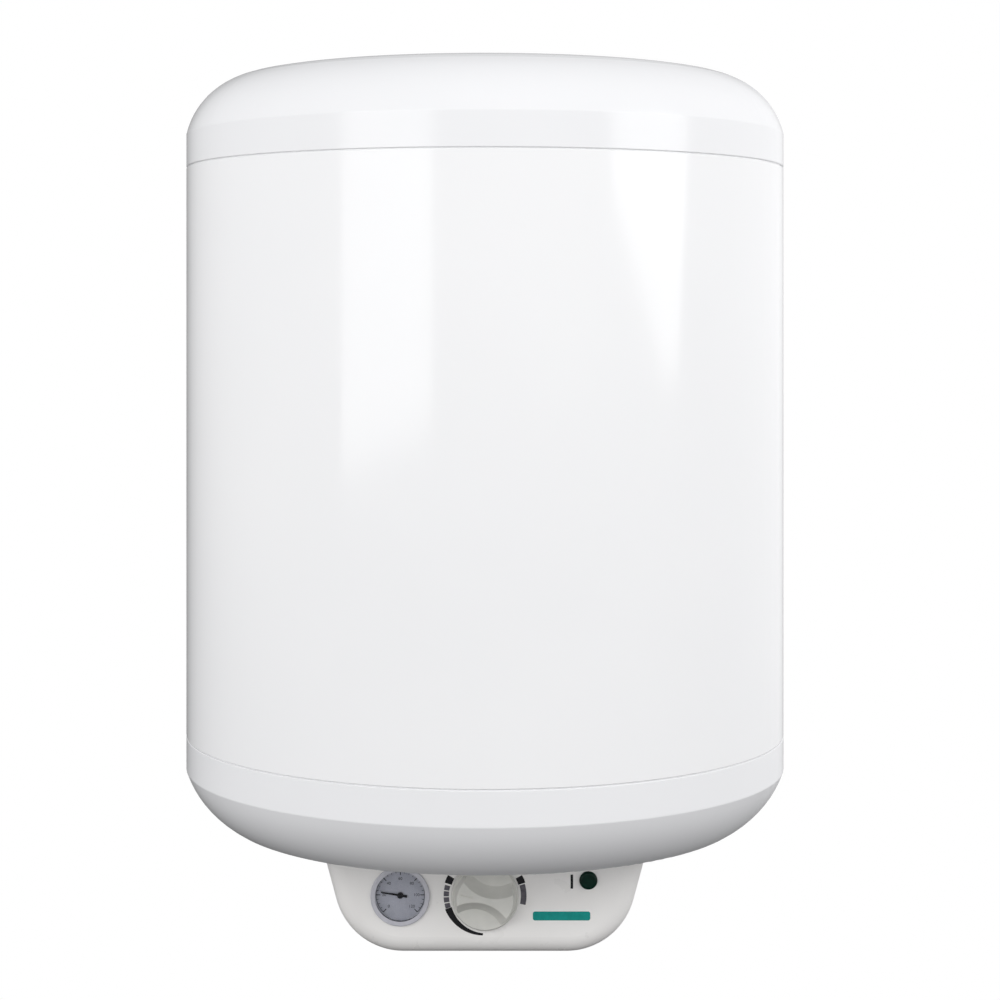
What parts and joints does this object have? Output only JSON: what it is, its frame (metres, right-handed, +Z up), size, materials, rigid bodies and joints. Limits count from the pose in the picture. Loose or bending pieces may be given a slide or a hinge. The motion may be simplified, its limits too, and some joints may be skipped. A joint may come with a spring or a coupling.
{
  "type": "tank water heater",
  "caption": "Wall-hung electric storage water heater: upright insulated cylinder with domed caps, control cover below with knob and dial thermometer, wall brackets and pipe stubs behind.",
  "frame": {"origin": "on the wall plane, at the centre of the upper wall bracket, midway between its two slots", "axes": "+X right along the wall as seen from the room, +Y into the wall, +Z up"},
  "size_m": [0.45, 0.475, 0.6482],
  "materials": {
    "white_enamel": "gloss",
    "white_plastic": "gloss",
    "cover_plastic": "satin",
    "foam": "matte",
    "tank_enamel": "gloss",
    "bare_steel": "satin",
    "gasket_rubber": "matte",
    "zinc_steel": "satin",
    "stainless": "satin",
    "brass": "satin",
    "magnesium": "matte",
    "bracket_enamel": "satin",
    "nipple_steel": "satin",
    "cold_blue": "satin",
    "hot_red": "satin",
    "white_nylon": "matte",
    "black_plastic": "matte",
    "reset_red": "gloss",
    "knob_plastic": "satin",
    "copper": "satin",
    "dial_face": "matte",
    "needle_black": "matte",
    "clear_lens": "clear",
    "bezel_grey": "satin",
    "lamp_green": "gloss",
    "ceramic_white": "gloss",
    "gland_grey": "satin",
    "wire_brown": "satin",
    "wire_blue": "satin",
    "wire_green": "satin",
    "wire_black": "satin"
  },
  "bodies": {
    "casing": {"jacket": "white_enamel", "top_cap": "white_plastic", "bottom_cap": "white_plastic", "control_cover": "cover_plastic", "foam_insulation": "foam", "tank_shell": "tank_enamel", "tank_top_end": "tank_enamel", "tank_bottom_end": "tank_enamel", "flange_ring": "bare_steel", "flange_plate": "bare_steel", "cutout_bracket": "bare_steel", "terminal_bracket": "bare_steel", "gauge_retainer": "bare_steel", "flange_gasket": "gasket_rubber", "flange_studs": "zinc_steel", "flange_nuts": "zinc_steel", "anode_stud": "zinc_steel", "cover_screws": "zinc_steel", "thermostat_screws": "zinc_steel", "element_terminals": "zinc_steel", "lamp_clip": "zinc_steel", "cover_posts": "zinc_steel", "heating_element": "stainless", "sensor_pocket": "stainless", "outlet_tube": "stainless", "gauge_case": "stainless", "element_bushes": "brass", "anode_rod": "magnesium", "upper_wall_bracket": "bracket_enamel", "lower_wall_bracket": "bracket_enamel", "cold_inlet_nipple": "nipple_steel", "hot_outlet_nipple": "nipple_steel", "cold_collar": "cold_blue", "hot_collar": "hot_red", "inlet_diffuser": "white_nylon", "thermostat_body": "black_plastic", "cutout_body": "black_plastic", "lamp_body": "black_plastic", "thermostat_capillary": "copper", "cutout_capillary": "copper", "gauge_capillary": "copper", "gauge_dial": "dial_face", "gauge_lens": "clear_lens", "gauge_bezel": "bezel_grey", "lamp_lens": "lamp_green", "terminal_block": "ceramic_white", "cable_gland": "gland_grey", "gland_nut": "gland_grey", "gland_locknut": "gland_grey", "live_wiring": "wire_brown", "neutral_wire": "wire_blue", "earth_wire": "wire_green", "lamp_wires": "wire_black"},
    "knob": {"thermostat_knob": "knob_plastic", "thermostat_spindle": "zinc_steel"},
    "needle": {"gauge_needle": "needle_black"},
    "reset": {"reset_button": "reset_red"}
  },
  "joints": [
    {"name": "knob_turn", "type": "hinge", "parent": "casing", "child": "knob", "pos_m": [0, -0.36, -0.3945], "axis": [0, 1, 0], "range_deg": [-105, 165]},
    {"name": "needle_turn", "type": "hinge", "parent": "casing", "child": "needle", "pos_m": [-0.0605, -0.3533, -0.3948], "axis": [0, 1, 0], "range_deg": [-54, 216], "stiffness_Nm_per_rad": 0.0001},
    {"name": "reset_press", "type": "slide", "parent": "casing", "child": "reset", "axis": [0, 0, 1], "range_m": [0, 0.0015], "stiffness_N_per_m": 1000, "springref_m": -0.003}
  ]
}
